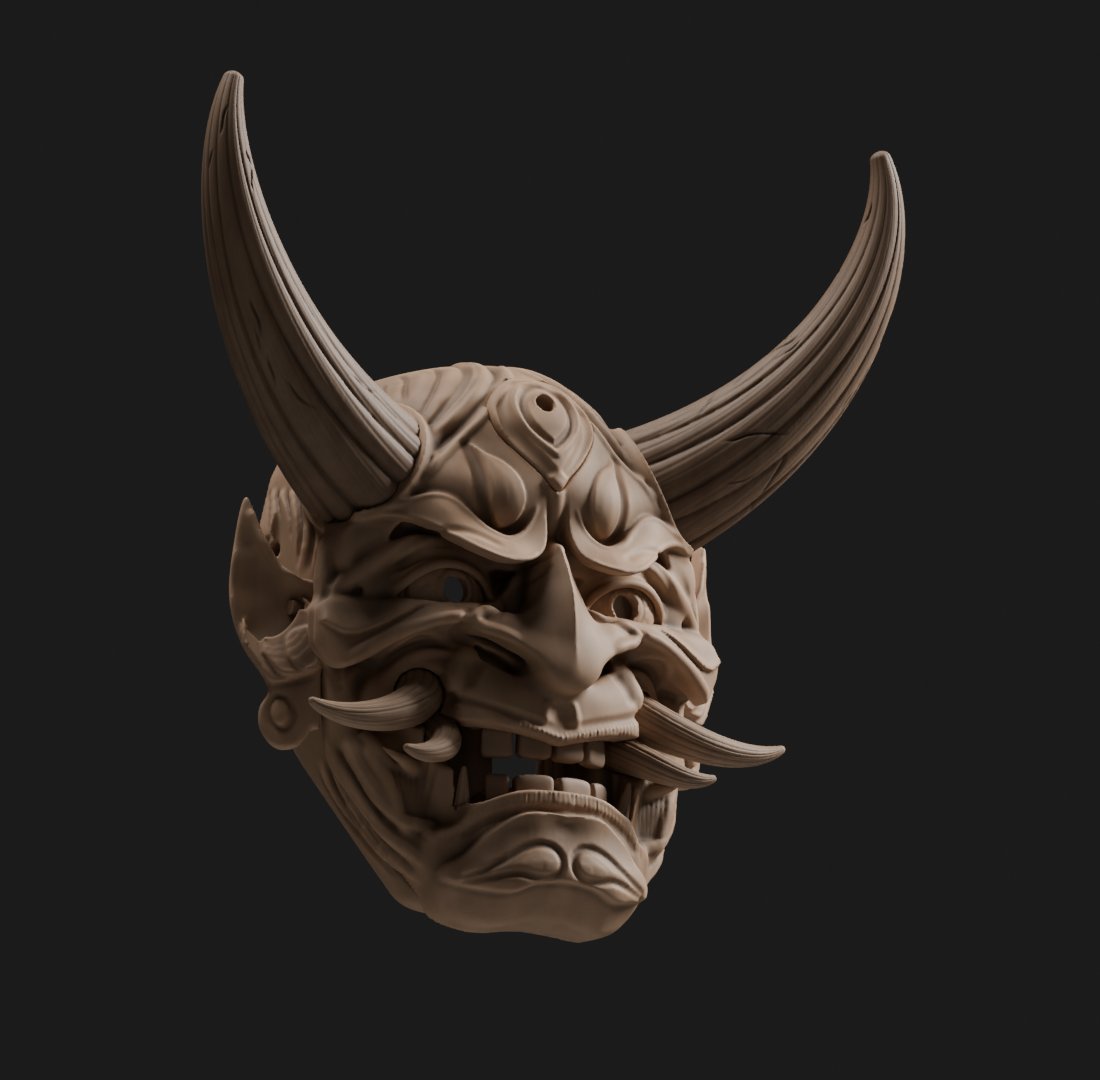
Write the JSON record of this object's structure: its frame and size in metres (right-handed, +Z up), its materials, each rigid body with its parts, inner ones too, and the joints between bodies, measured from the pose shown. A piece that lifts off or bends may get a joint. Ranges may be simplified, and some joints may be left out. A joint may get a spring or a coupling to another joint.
{
  "type": "noh mask",
  "caption": "Carved wooden demon mask with swept horns, pointed ears, tusks, bared teeth and pierced pupils, hollow behind for the wearer's face.",
  "frame": {"origin": "the point of the back rim's plane midway between the wearer's eyes, level with the pupil holes", "axes": "the mask faces -Y and the wearer's face is on the +Y side; +Z is up, towards the horns; +X is to the right of somebody who faces the mask"},
  "size_m": [0.2644, 0.093, 0.2752],
  "materials": {
    "face_wood": "matte, smoothly carved, unpainted",
    "horn_wood": "matte, with lengthwise ridges and fine cracks",
    "tusk_wood": "matte, with lengthwise ridges",
    "tooth_wood": "matte, smoothly rounded",
    "dowel_wood": "turned, pale"
  },
  "bodies": {
    "root": {"mask_shell": "face_wood", "forehead_eye": "face_wood", "eye_left": "face_wood", "eye_right": "face_wood", "ear_left": "face_wood", "ear_right": "face_wood", "ear_dowels_left": "dowel_wood", "ear_dowels_right": "dowel_wood", "horn_left": "horn_wood", "horn_right": "horn_wood", "horn_dowel_left": "dowel_wood", "horn_dowel_right": "dowel_wood", "cheek_tusk_left": "tusk_wood", "cheek_tusk_right": "tusk_wood", "mouth_tusk_left": "tusk_wood", "mouth_tusk_right": "tusk_wood", "lower_fang_left": "tusk_wood", "lower_fang_right": "tusk_wood", "tooth_upper_centre_left": "tooth_wood", "tooth_upper_centre_right": "tooth_wood", "tooth_upper_side_left": "tooth_wood", "tooth_upper_side_right": "tooth_wood", "tooth_lower_centre_left": "tooth_wood", "tooth_lower_centre_right": "tooth_wood", "tooth_lower_side_left": "tooth_wood", "tooth_lower_side_right": "tooth_wood", "upper_gum": "face_wood", "lower_gum": "face_wood", "tongue": "face_wood"}
  },
  "joints": []
}
